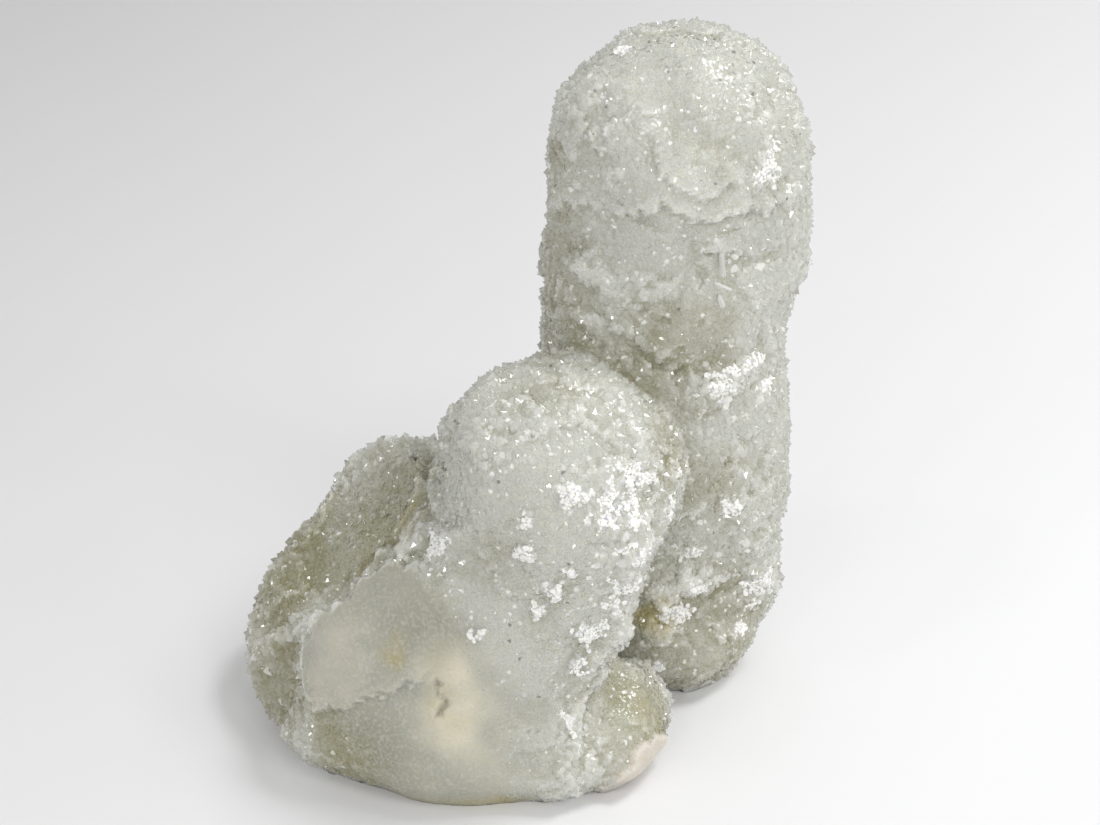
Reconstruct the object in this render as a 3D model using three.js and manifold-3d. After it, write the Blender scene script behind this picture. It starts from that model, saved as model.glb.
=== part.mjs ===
// A hand-sized piece of sugar quartz: finger-shaped lobes of milky quartz that grew into one
// another and broke away from their bed, which left a flat base. All of it is one solid.
// Millimetres, +Z up. The origin is at the middle of the piece's box, at the level it rests on.

import * as THREE from 'three';
import { mergeVertices } from 'three/addons/utils/BufferGeometryUtils.js';
import Module from 'manifold-3d';

// ---------- driving dimensions ----------

// Each lobe is a centre line of [x, y, z, radius] stations, foot first and tip last, and both of
// its ends are round. The lobes overlap, as crystals do that have grown together.
const LOBES = {
  column: [[21, 10.75, 4, 12.5], [19.8, 11.75, 15, 14.8], [19.3, 11.75, 34, 16],
    [18.1, 11.75, 46, 15.8], [19.2, 11.75, 58, 16.4]],
  head: [[19.2, 11.75, 60, 16.4], [19.7, 11.75, 71, 16.6]],
  crown: [[18.1, 11.75, 74.3, 14.7], [22.8, 11.75, 75, 14.2]],
  frontFinger: [[-0.5, -12.25, 8, 15.5], [0.3, -11.25, 18, 14], [2.7, -11.25, 29, 14.4],
    [4.4, -11.25, 39, 15.9]],
  boulder: [[-9, -9.75, 8, 18.5], [-4.5, -10.75, 20, 15.2]],
  waxyCorner: [[-19, -12.25, 5, 10.5], [-16.5, -11.75, 15.5, 10.8]],
  leftFinger: [[-18, -0.75, 8, 19], [-16, 0.25, 16.5, 17], [-13.5, 0.75, 24, 13]],
  saddle: [[-2.5, 2.75, 8, 15], [4.5, 3.75, 21, 12.5]],
  backLobe: [[5.5, 15.75, 7, 11.5], [5, 17.25, 17, 9.5]],
  backKnob: [[-8.5, 9.75, 5, 9.5], [-9, 9.25, 11, 8.5]],
  smallLobe: [[10.5, -16.75, 4, 8], [12, -9.25, 4, 7.5]],
  rearFoot: [[19.5, 8.75, 6, 12], [22, 8.75, 6, 12]],
};

// Length of the edge of a face.
const FACE = 2.6;

// Low swells all over the lobes. Each is a sine wave in space: its height, its waves in radians
// per millimetre along x, y and z, and its phase.
const SWELLS = [
  [0.3, 0.31, 0.12, 0.22, 0.4],
  [0.25, -0.17, 0.36, 0.14, 2.1],
  [0.25, 0.2, -0.24, 0.41, 4.4],
  [0.15, 0.62, 0.35, -0.3, 1.3],
];

// The bed below the base, large enough to trim every lobe at z = 0.
const BED_WIDTH = 200;
const BED_DEPTH = 60;

const QUARTZ_COLOUR = 0xc9ccc2;
const QUARTZ_ROUGHNESS = 0.35;

// ---------- the lobes ----------

function swellAt(point) {
  let height = 0;
  for (const [size, kx, ky, kz, phase] of SWELLS) {
    height += size * Math.sin(kx * point.x + ky * point.y + kz * point.z + phase);
  }
  return height;
}

// A unit sphere is drawn out along the centre line. Its polar angle, from the foot, becomes the
// arc over the round foot, then the way along the line, then the arc over the round tip.
function lobeGeometry(stations) {
  const centres = stations.map(([x, y, z]) => new THREE.Vector3(x, y, z));
  const line = new THREE.CatmullRomCurve3(centres, false, 'catmullrom', 0.5);
  const radii = new THREE.SplineCurve(stations.map((station, i) => new THREE.Vector2(i, station[3])));
  const footRadius = stations[0][3];
  const tipRadius = stations[stations.length - 1][3];
  const length = line.getLength();
  const footArc = 0.5 * Math.PI * footRadius;
  const tipArc = 0.5 * Math.PI * tipRadius;
  const whole = footArc + length + tipArc;
  const heading = centres[centres.length - 1].clone().sub(centres[0]).normalize();
  const across = Math.abs(heading.x) < 0.8 ? new THREE.Vector3(1, 0, 0) : new THREE.Vector3(0, 1, 0);

  const around = Math.round((2 * Math.PI * Math.max(footRadius, tipRadius)) / FACE);
  const along = Math.round(whole / FACE);
  const geometry = new THREE.SphereGeometry(1, around, along);
  const positions = geometry.attributes.position;
  const vertex = new THREE.Vector3();
  for (let i = 0; i < positions.count; i++) {
    vertex.fromBufferAttribute(positions, i);
    const angle = Math.atan2(-vertex.z, vertex.x);
    const arc = (whole * Math.acos(THREE.MathUtils.clamp(-vertex.y, -1, 1))) / Math.PI;
    const way = THREE.MathUtils.clamp((arc - footArc) / length, 0, 1);
    const lean = Math.min(arc - footArc, 0) / footRadius
      + Math.max(arc - footArc - length, 0) / tipRadius;

    const tangent = line.getTangentAt(way);
    const side = across.clone().addScaledVector(tangent, -across.dot(tangent)).normalize();
    const other = new THREE.Vector3().crossVectors(tangent, side);
    const outward = side.multiplyScalar(Math.cos(angle)).addScaledVector(other, Math.sin(angle));
    outward.multiplyScalar(Math.cos(lean)).addScaledVector(tangent, Math.sin(lean));

    const radius = radii.getPoint(line.getUtoTmapping(way)).y;
    const place = line.getPointAt(way).addScaledVector(outward, radius);
    place.addScaledVector(outward, swellAt(place));
    positions.setXYZ(i, place.x, place.y, place.z);
  }
  return geometry;
}

// ---------- joining the lobes and trimming the base ----------

const wasm = await Module();
wasm.setup();

function toSolid(geometry) {
  const bare = geometry.clone();
  bare.deleteAttribute('normal');
  bare.deleteAttribute('uv');
  const merged = mergeVertices(bare, 1e-3);
  return new wasm.Manifold(new wasm.Mesh({
    numProp: 3,
    vertProperties: new Float32Array(merged.attributes.position.array),
    triVerts: new Uint32Array(merged.index.array),
  }));
}

function toGeometry(solid) {
  const mesh = solid.getMesh();
  const geometry = new THREE.BufferGeometry();
  geometry.setAttribute('position', new THREE.BufferAttribute(mesh.vertProperties, 3));
  geometry.setIndex(new THREE.BufferAttribute(mesh.triVerts, 1));
  geometry.computeVertexNormals();
  return geometry;
}

function specimenGeometry() {
  const solids = Object.values(LOBES).map((stations) => toSolid(lobeGeometry(stations)));
  const grown = solids.reduce((joined, lobe) => joined.add(lobe));
  const bed = new THREE.BoxGeometry(BED_WIDTH, BED_WIDTH, BED_DEPTH).translate(0, 0, -0.5 * BED_DEPTH);
  const geometry = toGeometry(grown.subtract(toSolid(bed)));
  geometry.computeBoundingBox();
  const middle = geometry.boundingBox.getCenter(new THREE.Vector3());
  return geometry.translate(-middle.x, -middle.y, 0);
}

const quartz = new THREE.MeshStandardMaterial({
  color: QUARTZ_COLOUR,
  roughness: QUARTZ_ROUGHNESS,
  metalness: 0,
});
const specimen = new THREE.Mesh(specimenGeometry(), quartz);
specimen.name = 'quartz_specimen';

const group = new THREE.Group();
group.add(specimen);

export default group;
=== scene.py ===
import bpy
import numpy as np
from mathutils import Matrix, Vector


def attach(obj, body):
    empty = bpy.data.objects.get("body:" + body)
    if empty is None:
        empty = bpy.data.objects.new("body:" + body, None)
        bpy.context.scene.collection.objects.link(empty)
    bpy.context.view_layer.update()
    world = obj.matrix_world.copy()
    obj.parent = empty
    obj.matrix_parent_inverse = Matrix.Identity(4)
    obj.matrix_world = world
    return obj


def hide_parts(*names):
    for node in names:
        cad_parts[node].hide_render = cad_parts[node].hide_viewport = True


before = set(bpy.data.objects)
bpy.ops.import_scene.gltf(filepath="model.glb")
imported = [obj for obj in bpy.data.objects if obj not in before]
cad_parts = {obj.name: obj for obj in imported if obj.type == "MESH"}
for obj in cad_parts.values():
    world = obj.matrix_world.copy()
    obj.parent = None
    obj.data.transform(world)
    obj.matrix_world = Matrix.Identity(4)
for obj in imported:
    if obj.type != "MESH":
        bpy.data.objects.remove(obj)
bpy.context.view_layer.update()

# ---------------------------------------------------------------------------------------------
# The quartz body: stout fingers of milky quartz that grew into one another as one piece. Each
# finger is drawn along its own centre line, one skin is laid round them all, and the layers of
# crust, their scalloped ledges and the bare waxy foot are worked into that skin.
# ---------------------------------------------------------------------------------------------

MM = 0.001
SKIN_FACE = 0.53       # edge of a face of the finished skin, mm
FINGER_FACE = 0.9      # edge of a face of a finger before it is skinned, mm
LINE_STEPS = 240       # points along a finger's centre line

# Stations of each finger's centre line, foot first: x, y, z and radius, mm.
FINGERS = {
    "column": [(20.2, 10.75, 4, 12.2), (19.8, 11.75, 15, 14.8), (19.3, 11.75, 34, 16),
               (18.3, 11.75, 46, 15.8), (19.2, 11.75, 58, 16.2)],
    "head": [(19.0, 11.75, 60, 16.3), (19.1, 11.75, 71, 16.3)],
    "crown": [(18.0, 11.75, 74.2, 14.7), (21.9, 11.75, 75.5, 14.0)],
    "front_finger": [(-3.5, -11.5, 8, 13.3), (-1.0, -11.25, 18, 13.8), (1.8, -11.25, 28, 14.2),
                     (4.5, -11.25, 38.6, 15.7)],
    "front_toe": [(-5.4, -14.0, 4, 14), (2.6, -15.3, 4, 12.6)],
    "shoulder": [(-2.6, -8.5, 26, 9.8), (-3.3, -7, 37.6, 9.9)],
    "boulder": [(-9, -9.75, 8, 18.5), (-4.5, -10.75, 20, 15.2)],
    "waxy_corner": [(-19.3, -13, 5, 11.6), (-16.5, -12, 15.5, 11.2)],
    "left_finger": [(-18, 0.75, 7.4, 18.7), (-17, 1.6, 13.4, 17.5), (-14.8, 3.0, 20.4, 14.8)],
    "left_shoulder": [(-9, 1.5, 8, 15), (-8.5, 2.8, 20.6, 13.5)],
    "saddle": [(-2.5, 2.75, 8, 15), (4.5, 3.75, 21, 12.5)],
    "back_lobe": [(5.5, 15.75, 7, 11.5), (5, 17.25, 17, 9.5)],
    "back_knob": [(-8.5, 9.75, 5, 9.5), (-9, 9.25, 11, 8.5)],
    "small_lobe": [(11.0, -17.7, 4, 8.0), (11.8, -12.8, 5, 7.6)],
    "rear_foot": [(17.8, 6.9, 6, 11.8), (20.4, 6.9, 6, 11.6)],
}

# Low swells of the fingers: height in mm, waves in radians per mm along x, y and z, and phase.
SWELLS = np.array([
    (0.3, 0.31, 0.12, 0.22, 0.4),
    (0.25, -0.17, 0.36, 0.14, 2.1),
    (0.25, 0.2, -0.24, 0.41, 4.4),
    (0.15, 0.62, 0.35, -0.3, 1.3),
])


def unit(vectors):
    """Each vector divided by its own length."""
    return vectors / np.maximum(np.linalg.norm(vectors, axis=-1, keepdims=True), 1e-12)


def ease(low, high, value):
    """0 before low, 1 past high, and the smooth cubic 3t^2 - 2t^3 between; low may be the
    greater of the two."""
    t = np.clip((value - low) / (high - low), 0, 1)
    return t * t * (3 - 2 * t)


def through_stations(stations, count):
    """A Catmull-Rom curve through the stations, in all four columns at once: between two
    stations it is the cubic whose slope at each is half the step from the station before to
    the one after, and a mirrored station stands beyond each end, with its radius chosen so
    that the radius runs level into the round foot and tip."""
    s = np.array(stations, float)
    before, beyond = 2 * s[0] - s[1], 2 * s[-1] - s[-2]
    before[3], beyond[3] = s[1, 3], s[-2, 3]
    s = np.vstack([before, s, beyond])
    t = np.linspace(0, len(s) - 3, count)
    i = np.minimum(t.astype(int), len(s) - 4)
    u = (t - i)[:, None]
    a, b, c, d = s[i], s[i + 1], s[i + 2], s[i + 3]
    return 0.5 * (2 * b + (c - a) * u + (2 * a - 5 * b + 4 * c - d) * u ** 2
                  + (3 * b - 3 * c + d - a) * u ** 3)


def finger_surface(stations):
    """A closed finger on a grid of two parameters: w, the way from the pole of the round foot,
    along the line, to the pole of the round tip, and the angle b round the line. A point is
    line(w) + r(w) * (cos(lean) * (cos(b) * side + sin(b) * other) + sin(lean) * along), where
    lean runs from -90 degrees to 0 over the foot and from 0 to 90 over the tip; then it is
    lifted along the same direction by the sum of the swells."""
    fine = through_stations(stations, LINE_STEPS)
    steps = np.linalg.norm(np.diff(fine[:, :3], axis=0), axis=1)
    travelled = np.concatenate([[0], np.cumsum(steps)])
    length = travelled[-1]
    foot_r, tip_r = stations[0][3], stations[-1][3]
    foot_arc, tip_arc = 0.5 * np.pi * foot_r, 0.5 * np.pi * tip_r
    whole = foot_arc + length + tip_arc

    rows = int(whole / FINGER_FACE)
    columns = int(2 * np.pi * max(foot_r, tip_r) / FINGER_FACE)
    arc = np.linspace(0, whole, rows + 1)
    way = np.clip(arc - foot_arc, 0, length)
    lean = np.minimum(arc - foot_arc, 0) / foot_r + np.maximum(arc - foot_arc - length, 0) / tip_r
    centre = np.stack([np.interp(way, travelled, fine[:, k]) for k in range(3)], 1)
    radius = np.interp(way, travelled, fine[:, 3])
    slope = np.gradient(fine[:, :3], axis=0)
    along = unit(np.stack([np.interp(way, travelled, slope[:, k]) for k in range(3)], 1))
    heading = unit(fine[-1, :3] - fine[0, :3])
    across = np.array([1.0, 0, 0]) if abs(heading[0]) < 0.8 else np.array([0, 1.0, 0])
    side = unit(across - (along @ across)[:, None] * along)
    other = np.cross(along, side)

    b = np.linspace(0, 2 * np.pi, columns, endpoint=False)[None, :, None]
    outward = np.cos(b) * side[:, None] + np.sin(b) * other[:, None]
    outward = np.cos(lean)[:, None, None] * outward + np.sin(lean)[:, None, None] * along[:, None]
    points = centre[:, None] + radius[:, None, None] * outward
    heights = SWELLS[:, 0] * np.sin(points @ SWELLS[:, 1:4].T + SWELLS[:, 4])
    points = points + outward * heights.sum(-1, keepdims=True)

    ring = np.arange(columns)
    nxt = (ring + 1) % columns
    inner = 1 + np.arange(rows - 2)[:, None] * columns
    quads = np.stack([inner + ring, inner + nxt, inner + columns + nxt, inner + columns + ring], -1)
    last = 1 + (rows - 1) * columns
    foot_fan = np.stack([np.zeros_like(ring), 1 + nxt, 1 + ring], 1)
    tip_fan = np.stack([np.full_like(ring, last), last - columns + ring, last - columns + nxt], 1)
    verts = np.vstack([points[0, :1], points[1:-1].reshape(-1, 3), points[-1, :1]])
    return verts, quads.reshape(-1, 4).tolist() + foot_fan.tolist() + tip_fan.tolist()


def mesh_object(name, verts, faces):
    """A mesh object straight from arrays of points and faces."""
    mesh = bpy.data.meshes.new(name)
    mesh.from_pydata(verts, [], faces)
    mesh.update()
    piece = bpy.data.objects.new(name, mesh)
    bpy.context.scene.collection.objects.link(piece)
    return piece


def skin_over(fingers):
    """The one closed skin, as points and quads, round all the overlapping fingers."""
    verts, faces, start = [], [], 0
    for stations in fingers.values():
        points, quads = finger_surface(stations)
        verts.append(points)
        faces += [[start + k for k in face] for face in quads]
        start += len(points)
    rough = mesh_object("rough_fingers", np.vstack(verts), faces)
    remesh = rough.modifiers.new("skin", "REMESH")
    remesh.mode = "VOXEL"
    remesh.voxel_size = SKIN_FACE
    bpy.context.view_layer.update()
    skinned = rough.evaluated_get(bpy.context.evaluated_depsgraph_get()).to_mesh()
    points = np.empty(len(skinned.vertices) * 3)
    skinned.vertices.foreach_get("co", points)
    quads = np.empty(len(skinned.loops), int)
    skinned.loops.foreach_get("vertex_index", quads)
    bpy.data.objects.remove(rough)
    return points.reshape(-1, 3), quads.reshape(-1, 4)


def point_normals(points, quads):
    """Each point's normal: the sum of the cross products of the diagonals of its quads."""
    p = points[quads]
    face = np.cross(p[:, 2] - p[:, 0], p[:, 3] - p[:, 1])
    return unit(np.stack([
        np.bincount(quads.ravel(), np.repeat(face[:, k], 4), len(points)) for k in range(3)], 1))


def relaxed(points, quads, weight, rounds):
    """Each round moves every point by weight towards the mean of its neighbours round a quad."""
    start = quads.ravel()
    end = np.roll(quads, -1, 1).ravel()
    share = np.maximum(np.bincount(start, minlength=len(points)), 1)
    weight = np.broadcast_to(weight, len(points))[:, None]
    for _ in range(rounds):
        mean = np.stack([
            np.bincount(start, points[end, k], len(points)) for k in range(3)], 1) / share[:, None]
        points = points + weight * (mean - points)
    return points


def cell_number(cell, seed):
    """A number between 0 and 1 for each cell of a lattice: its three indices and the seed,
    mixed by whole-number products and shifts."""
    key = cell @ np.array([73856093, 19349663, 83492791]) + seed * 668265263
    key = (key ^ (key >> 13)) * 1274126177 & 0xFFFFFFFF
    key = (key ^ (key >> 16)) * 374761393 & 0xFFFFFFFF
    return (key ^ (key >> 15)) / 0xFFFFFFFF


def lattice_noise(points, size, seed):
    """Smooth noise between -1 and 1: random numbers on the corners of a cubic lattice of the
    given size, blended across each cell with the cubic 3t^2 - 2t^3."""
    cell = np.floor(points / size).astype(np.int64)
    t = points / size - cell
    t = t * t * (3 - 2 * t)
    total = 0
    for corner in np.ndindex(2, 2, 2):
        share = np.prod(np.where(corner, t, 1 - t), axis=1)
        total = total + (2 * cell_number(cell + corner, seed) - 1) * share
    return total


def layered_noise(points, octaves):
    """Noise of several sizes added up: each octave is its height, its size in mm and its seed."""
    return sum(height * lattice_noise(points, size, seed) for height, size, seed in octaves)


def nodules(points, size, seed):
    """Round bumps that meet in creases: 1 minus the squared distance, in units of size, to the
    nearest of the random seeds, one in each cube of a lattice of that size, and never under 0."""
    cell = np.floor(points / size).astype(np.int64)
    nearest = np.full(len(points), 9.0)
    for step in np.ndindex(3, 3, 3):
        near = cell + step - 1
        spot = near + np.stack([0.15 + 0.7 * cell_number(near, seed + k) for k in range(3)], 1)
        nearest = np.minimum(nearest, ((points / size - spot) ** 2).sum(1))
    return np.maximum(1 - nearest, 0)




def zone_share(points, zones, ragged, soft):
    """The strongest zone at each point. A zone is an ellipsoid of centre and radii, mm, and a
    strength, which fades as the distance from its centre, in units of its radii and made ragged
    by the noise given, passes from 1 - soft to 1."""
    total = np.zeros(len(points))
    for centre, radii, strength in zones:
        far = np.linalg.norm((points - np.array(centre)) / np.array(radii), axis=1)
        total = np.maximum(total, strength * (1 - ease(1 - soft, 1, far + ragged)))
    return total


def zoned(zones, height, size, seed, soft):
    """The function of points that gives the share of these zones, whose edge is made ragged by
    noise of the given height, size in mm and seed."""
    return lambda points: zone_share(
        points, zones, height * lattice_noise(points, size, seed), soft)


# Where the foot is broken off, down to smooth quartz.
BROKEN = [((15.6, -21.2, 1.2), (7.6, 6.2, 6.0), 1.0)]
broken_share = zoned(BROKEN, 0.12, 1.3, 6, soft=0.12)

# Knots of crust low on the tall finger.
KNOTS = [
    ((21.7, -1.0, 18.4), (4.6, 3.5, 3.0), 1.0),
    ((18.2, -2.6, 16.6), (2.4, 3.0, 2.4), 0.8),
]
knot_share = zoned(KNOTS, 0.4, 1.5, 66, soft=0.5)

# Even crust, whose layers hardly show.
EVEN_ZONES = [
    ((21, -3, 76), (12, 9, 11), 1.0),
    ((18, 6, 86), (12, 12, 5), 0.8),
    ((17, 0, 66), (12, 8, 5), 0.6),
    ((1, -24, 40), (13, 13, 11), 1.0),
    ((2, -24, 22), (12, 10, 14), 0.9),
    ((-17, -2, 28), (14, 13, 13), 1.0),
    ((13, -16.5, 8), (9, 9, 9.5), 1.0),
    ((20, -5, 56), (9, 8, 8), 0.5),
    ((21, -1, 6), (10, 8, 8), 0.8),
]
even_share = zoned(EVEN_ZONES, 0.2, 5.0, 19, soft=0.5)

# Where knocks have crushed the crystals: the centre and radii of each place, mm.
KNOCKS = [
    # on the head, and below it on the tall finger
    ((29.4, -0.2, 76.3), (1.7, 2.5, 3.2)),
    ((12.7, 10.4, 86.7), (1.0, 1.2, 0.9)),
    ((24.8, -2.9, 47.2), (2.7, 3.0, 1.8)),
    ((28.2, -0.7, 48.7), (3.4, 3.0, 1.7)),
    ((31.0, 2.5, 44.6), (1.5, 2.0, 1.2)),
    # down the front finger
    ((13.6, -20.4, 45.3), (2.6, 2.9, 2.3)),
    ((10.7, -23.2, 42.6), (3.4, 3.4, 2.8)),
    ((7.0, -24.3, 44.6), (2.1, 2.2, 1.4)),
    ((18.6, -14.8, 42.6), (0.8, 1.2, 0.9)),
    ((18.0, -15.9, 37.8), (1.2, 1.8, 1.8)),
    ((13.9, -22.4, 39.5), (1.9, 2.4, 1.6)),
    ((13.5, -23.4, 36.2), (2.5, 2.4, 2.3)),
    ((12.7, -22.8, 32.2), (1.6, 2.0, 2.8)),
    ((11.4, -22.0, 28.6), (2.0, 2.4, 1.9)),
    ((8.6, -22.8, 24.6), (1.6, 2.2, 2.3)),
    ((7.6, -24.4, 19.0), (1.4, 2.0, 1.6)),
    ((6.2, -25.5, 12.5), (1.2, 2.0, 1.5)),
    ((11.0, -23.0, 33.0), (1.4, 2.0, 1.6)),
    ((6.0, -25.0, 35.0), (1.0, 1.6, 1.5)),
    ((2.0, -25.5, 28.5), (0.8, 1.6, 1.2)),
    ((4.4, -24.6, 31.6), (1.1, 1.6, 1.8)),
    ((0.3, -25.1, 41.8), (1.0, 1.2, 0.9)),
    ((0.7, -25.5, 37.2), (1.4, 1.3, 0.9)),
    ((-5.1, -25.1, 25.0), (1.2, 1.3, 0.8)),
    ((-10.1, -16.9, 33.0), (2.1, 2.4, 1.7)),
    # low on the tall finger
    ((26.3, -2.0, 29.5), (1.3, 1.6, 1.5)),
    ((31.5, 3.2, 14.2), (3.4, 3.4, 3.0)),
    ((28.6, 1.4, 8.4), (1.3, 1.9, 1.2)),
    ((21.6, -2.2, 22.8), (2.0, 2.2, 1.5)),
    ((21.9, -1.5, 17.9), (3.0, 2.2, 1.2)),
    ((19.9, -2.6, 13.5), (1.9, 2.0, 1.4)),
    ((16.8, -4.0, 19.6), (1.9, 2.5, 1.2)),
    ((17.5, -4.5, 6.2), (1.1, 1.6, 1.0)),
]
CRUSHED = [(centre, radii, 1.0) for centre, radii in KNOCKS]


def crushed_share(points):
    """Where the crystals are crushed to white powder: zones eaten into by fine noise."""
    ragged = (1.2 * np.abs(lattice_noise(points, 2.4, 60))
              + 1.2 * np.abs(lattice_noise(points, 1.1, 61))
              + 0.6 * lattice_noise(points, 0.6, 62) - 0.58)
    return zone_share(points, CRUSHED, ragged, 0.3)


# The smooth, waxy part of the sloping front, where the crust came off, and the plate that stands
# proud of it at the left: their outlines on a plane that leans back by SLOPE, with x across and
# then the way up the plane, mm.
SLOPE = np.radians(29)
FROM_FRONT = np.array([0, -np.cos(SLOPE), np.sin(SLOPE)])
PLATE_OUTLINE = [(-10, 15), (-13.1, 18.1), (-16.2, 18.1), (-21.1, 15.5), (-23.2, 13.5), (-26, 11),
                 (-27.4, 8.2), (-27.6, 4.7), (-27.1, 2.3), (-26.2, 0.6), (-25, -0.3), (-21.5, 0.1),
                 (-19.8, 1.1), (-17.8, 2), (-14.9, 3), (-13.1, 3.7), (-9, 6)]
PLATE_HEIGHT = 0.85
CRISP = 0.25               # half the width of a crisp edge, here and at the scoop, mm
PLATE_FADE = (-9, -16)     # it rises between these x, mm
PLATE_RAGGED = [(0.9, 2.0, 90), (0.8, 0.9, 91)]
WAXY_OUTLINE = [(-27.1, 2.3), (-27.6, 4.7), (-27.4, 8.2), (-26, 11), (-23.2, 13.5), (-21.1, 15.5),
                (-16.2, 18.1), (-13.1, 18.1), (-9.6, 15.6), (-6.1, 12.2), (-3.4, 7.6), (-0.4, 2.8),
                (1.4, -4.8), (0.6, -12.5), (-5, -20), (-15, -20), (-20.5, -11), (-25, -3)]
WAXY_RAGGED = [(1.2, 2.2, 5), (0.8, 0.9, 7)]
WAXY_BEHIND = (-10.0, -7.0)    # both end between these y, mm
SOFTER_ACROSS = (-14, -4)      # the waxy edge turns soft between these x, mm
SOFTER_LOW = (3, -3)           # and between these heights up the plane, mm
SHARP_EDGE, SOFTENING = 0.5, 6.5   # half its edge's width, and what is added where soft, mm


def inside_outline(across, up, outline):
    """How far a point lies inside an outline, or as a negative number outside it: the distance
    to the nearest stretch, with the sign from how often a line to the right crosses it."""
    corner = np.array(outline, float)
    nearest = np.full(len(across), np.inf)
    inside = np.zeros(len(across), bool)
    for (ax, ay), (bx, by) in zip(corner, np.roll(corner, -1, axis=0)):
        dx, dy = bx - ax, by - ay
        t = np.clip(((across - ax) * dx + (up - ay) * dy) / (dx * dx + dy * dy), 0, 1)
        nearest = np.minimum(nearest, np.hypot(across - ax - t * dx, up - ay - t * dy))
        if dy:
            inside ^= ((ay > up) != (by > up)) & (across < ax + (up - ay) * dx / dy)
    return np.where(inside, nearest, -nearest)


def up_the_slope(points):
    """How far up the leaning plane each point lies."""
    return points[:, 1] * np.sin(SLOPE) + points[:, 2] * np.cos(SLOPE)


def in_front(points):
    """1 at the front of the piece, and 0 behind the waxy foot."""
    return 1 - ease(*WAXY_BEHIND, points[:, 1])


def waxiness(points):
    """How bare and waxy the quartz is, from 0 to 1: it sets in within a millimetre at the
    plate's edges and slowly, over some 14 mm, towards the right of the foot."""
    up = up_the_slope(points)
    depth = inside_outline(points[:, 0], up, WAXY_OUTLINE) + layered_noise(points, WAXY_RAGGED)
    slow = np.maximum(ease(*SOFTER_ACROSS, points[:, 0]), ease(*SOFTER_LOW, up))
    soft = SHARP_EDGE + SOFTENING * slow
    return np.maximum(ease(-soft, soft, depth) * in_front(points), broken_share(points))


def plate_height(points):
    """The height of the plate: level inside its outline, a crisp scalloped edge at the left, and
    a slow fade to the right."""
    ragged = layered_noise(points, PLATE_RAGGED)
    depth = inside_outline(points[:, 0], up_the_slope(points), PLATE_OUTLINE) + ragged
    rise = ease(-CRISP, CRISP, depth) * ease(*PLATE_FADE, points[:, 0])
    return PLATE_HEIGHT * rise * in_front(points)


# Ledges where a layer of crust ends: its height and how far it takes to fade, mm, and the path
# of its edge, with the layer on the left of the path as seen from its own side of the piece.
LEDGES = [
    # under the head's front, and a scallop high on it
    (0.8, 9, [(4, 8.7, 66.7), (7.3, 1.7, 69.9), (11.9, -2.6, 71.4), (18.1, -5.4, 71.7),
              (21.3, -5, 70.9), (24.1, -4.3, 69.9), (27, -3.4, 70.9), (32.6, 0.3, 71.5)]),
    (0.45, 8, [(10.6, 4.6, 83.8), (10.7, 2.7, 82.2), (12.7, 1.4, 81.9), (15.1, -0.1, 80.7),
               (15.9, -2.8, 77.9), (18.5, -4.7, 75.2), (21.9, -4.6, 73.8), (24.6, -3.5, 74.7)]),
    # on the tall finger, from the head down to the front finger
    (0.75, 5, [(24.5, -4, 66.6), (26.7, -2.7, 65.3), (28.1, -1.9, 65.5), (30.8, -0.3, 66.3),
               (32.8, 2, 64.5), (35, 8, 64)]),
    (0.9, 6, [(7.4, 1.4, 63), (5.4, 3.9, 59.3), (5.5, 3, 57.6), (7.1, 0.4, 56.1)]),
    (0.85, 7, [(8.4, -0.1, 61), (9.6, -1.5, 60.3), (10.8, -2.2, 54.8), (13, -2.9, 53.9),
               (15.2, -3.4, 52.6), (19, -5, 51.2)]),
    (0.8, 8, [(34, 5, 52), (31.8, 0.5, 50.6), (27.9, -0.9, 50.2), (24.1, -2.6, 49),
              (20.5, -3.6, 50.2)]),
    # down the front finger's left edge, then its right edge in two stretches
    (1.5, 12, [(-13.4, -14.3, 31.4), (-12, -12.9, 32.5), (-11.7, -7.7, 33.3),
               (-11.6, -5.3, 35.2), (-12.5, -2.2, 36.6)]),
    (1.5, 8, [(12.5, -20, 24), (14.5, -21.3, 30), (14.5, -21.3, 34), (15.6, -22.1, 37.9)]),
    (1.8, 9, [(6.8, -24.5, 4), (7.4, -23, 10), (9.8, -21, 16), (12.2, -19, 22)]),
    # round the tall finger's back
    (0.7, 9, [(33.5, 19, 64), (29, 25, 62), (22, 28.3, 65), (14, 28.4, 63), (8, 27, 66)]),
    (0.7, 8, [(28, 25.5, 46), (20, 28, 49), (12, 26, 47), (6, 20, 50)]),
]
LEDGE_STEP = 0.22      # half the width of a ledge's face, mm
LEDGE_ENDS = (1.0, 4.5)    # a ledge dies out between these distances past its ends, mm
BACK_FROM = 15         # a path that starts behind this y is on the back, mm


def path_offsets(points, path):
    """How far each point is from a path of straight stretches, and how far it lies to the left
    of the nearest stretch, seen from the front, or from behind for a path on the back."""
    nearest = np.full(len(points), np.inf)
    left = np.zeros(len(points))
    path = np.array(path, float)
    for start, end in zip(path[:-1], path[1:]):
        stretch = end - start
        t = np.clip((points - start) @ stretch / (stretch @ stretch), 0, 1)
        offset = points - start - t[:, None] * stretch
        distance = np.linalg.norm(offset, axis=1)
        towards_eye = FROM_FRONT if start[1] < BACK_FROM else -FROM_FRONT
        leftward = unit(np.cross(towards_eye, stretch))
        left = np.where(distance < nearest, offset @ leftward, left)
        nearest = np.minimum(nearest, distance)
    return nearest, left


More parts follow.
